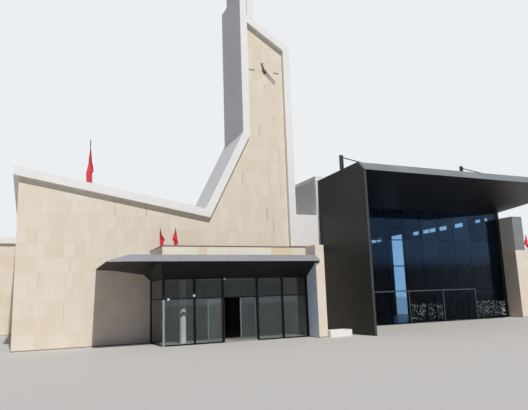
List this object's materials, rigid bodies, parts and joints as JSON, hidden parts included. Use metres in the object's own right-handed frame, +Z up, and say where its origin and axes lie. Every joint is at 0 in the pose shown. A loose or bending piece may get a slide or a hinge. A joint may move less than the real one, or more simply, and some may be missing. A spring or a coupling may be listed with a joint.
{
  "type": "railway station building",
  "caption": "Stone railway station with a clock tower between sweeping white bands, a glazed entrance under a folded canopy and a tall glazed hall.",
  "frame": {"origin": "middle of the footprint's bounding box at ground level", "axes": "+X right along the front as seen from outside, +Y from the front into the building, +Z up"},
  "size_m": [39.5, 30.265, 24],
  "materials": {
    "stone": "honed pale limestone in courses",
    "white_render": "smooth painted render",
    "roof_metal": "matt grey roofing",
    "canopy_metal": "satin grey cladding",
    "charcoal_metal": "satin charcoal cladding",
    "frame_metal": "satin dark grey",
    "light_metal": "satin anodised",
    "lamp_cover": "smooth opal white",
    "door_metal": "satin anodised",
    "glass": "clear, tinted grey",
    "floor_stone": "honed paving",
    "clock_metal": "matt black",
    "pole_metal": "satin",
    "flag_cloth": "plain red cloth"
  },
  "bodies": {
    "building": {"back_wall": "stone", "clock_face": "clock_metal", "entrance_canopy": "canopy_metal", "entrance_column": "white_render", "entrance_corner_post": "light_metal", "entrance_glass": "glass", "entrance_lamps": "lamp_cover", "entrance_lower_frame": "frame_metal", "entrance_parapet": "white_render", "entrance_pier": "stone", "entrance_roof": "roof_metal", "entrance_upper_frame": "frame_metal", "flagpoles": "pole_metal", "flags": "flag_cloth", "front_wall_left": "stone", "front_wall_right": "stone", "front_wall_upper": "stone", "ground_floor": "floor_stone", "hall_back_wall": "stone", "hall_front_glass": "glass", "hall_front_lower_posts": "frame_metal", "hall_front_upper_frame": "frame_metal", "hall_left_wall": "white_render", "hall_parapet": "white_render", "hall_right_wall": "white_render", "hall_roof": "roof_metal", "left_roof": "white_render", "left_side_wall": "stone", "link_white_wall": "white_render", "planter": "white_render", "portal_canopy": "canopy_metal", "portal_masts": "pole_metal", "portal_side_wall": "charcoal_metal", "ramp": "white_render", "right_block_roof": "stone", "right_block_walls": "stone", "right_white_block": "white_render", "tower_back_wall": "white_render", "tower_inner_fin": "white_render", "tower_left_fin": "white_render", "tower_right_wall": "white_render", "tower_top": "white_render", "window_glass": "glass", "wing_roof": "white_render", "wing_walls": "stone"},
    "entrance_left_leaf": {"entrance_left_leaf_frame": "door_metal", "entrance_left_leaf_glass": "glass"},
    "entrance_right_leaf": {"entrance_right_leaf_frame": "door_metal", "entrance_right_leaf_glass": "glass"},
    "hall_door_1_left": {"hall_door_1_left_frame": "door_metal", "hall_door_1_left_glass": "glass"},
    "hall_door_1_right": {"hall_door_1_right_frame": "door_metal", "hall_door_1_right_glass": "glass"},
    "hall_door_2_left": {"hall_door_2_left_frame": "door_metal", "hall_door_2_left_glass": "glass"},
    "hall_door_2_right": {"hall_door_2_right_frame": "door_metal", "hall_door_2_right_glass": "glass"},
    "hour_hand": {"clock_hour_hand": "clock_metal"},
    "minute_hand": {"clock_minute_hand": "clock_metal"}
  },
  "joints": [
    {"name": "entrance_left_leaf_slide", "type": "slide", "parent": "building", "child": "entrance_left_leaf", "axis": [1, 0, 0], "range_m": [0, 0.85]},
    {"name": "entrance_right_leaf_slide", "type": "slide", "parent": "building", "child": "entrance_right_leaf", "axis": [1, 0, 0], "range_m": [0, 0.85]},
    {"name": "hall_door_1_left_slide", "type": "slide", "parent": "building", "child": "hall_door_1_left", "axis": [-1, 0, 0], "range_m": [0, 0.72]},
    {"name": "hall_door_1_right_slide", "type": "slide", "parent": "building", "child": "hall_door_1_right", "axis": [1, 0, 0], "range_m": [0, 0.72]},
    {"name": "hall_door_2_left_slide", "type": "slide", "parent": "building", "child": "hall_door_2_left", "axis": [-1, 0, 0], "range_m": [0, 0.72]},
    {"name": "hall_door_2_right_slide", "type": "slide", "parent": "building", "child": "hall_door_2_right", "axis": [1, 0, 0], "range_m": [0, 0.72]},
    {"name": "minute_hand_turn", "type": "hinge", "parent": "building", "child": "minute_hand", "pos_m": [-4.045, -9.8675, 16.33], "axis": [0, 1, 0], "continuous": true},
    {"name": "hour_hand_turn", "type": "hinge", "parent": "building", "child": "hour_hand", "pos_m": [-4.045, -9.8675, 16.33], "axis": [0, 1, 0], "continuous": true}
  ],
  "couplings": [
    {"joint": "hour_hand_turn", "follows": "minute_hand_turn", "ratio": 0.083333}
  ]
}
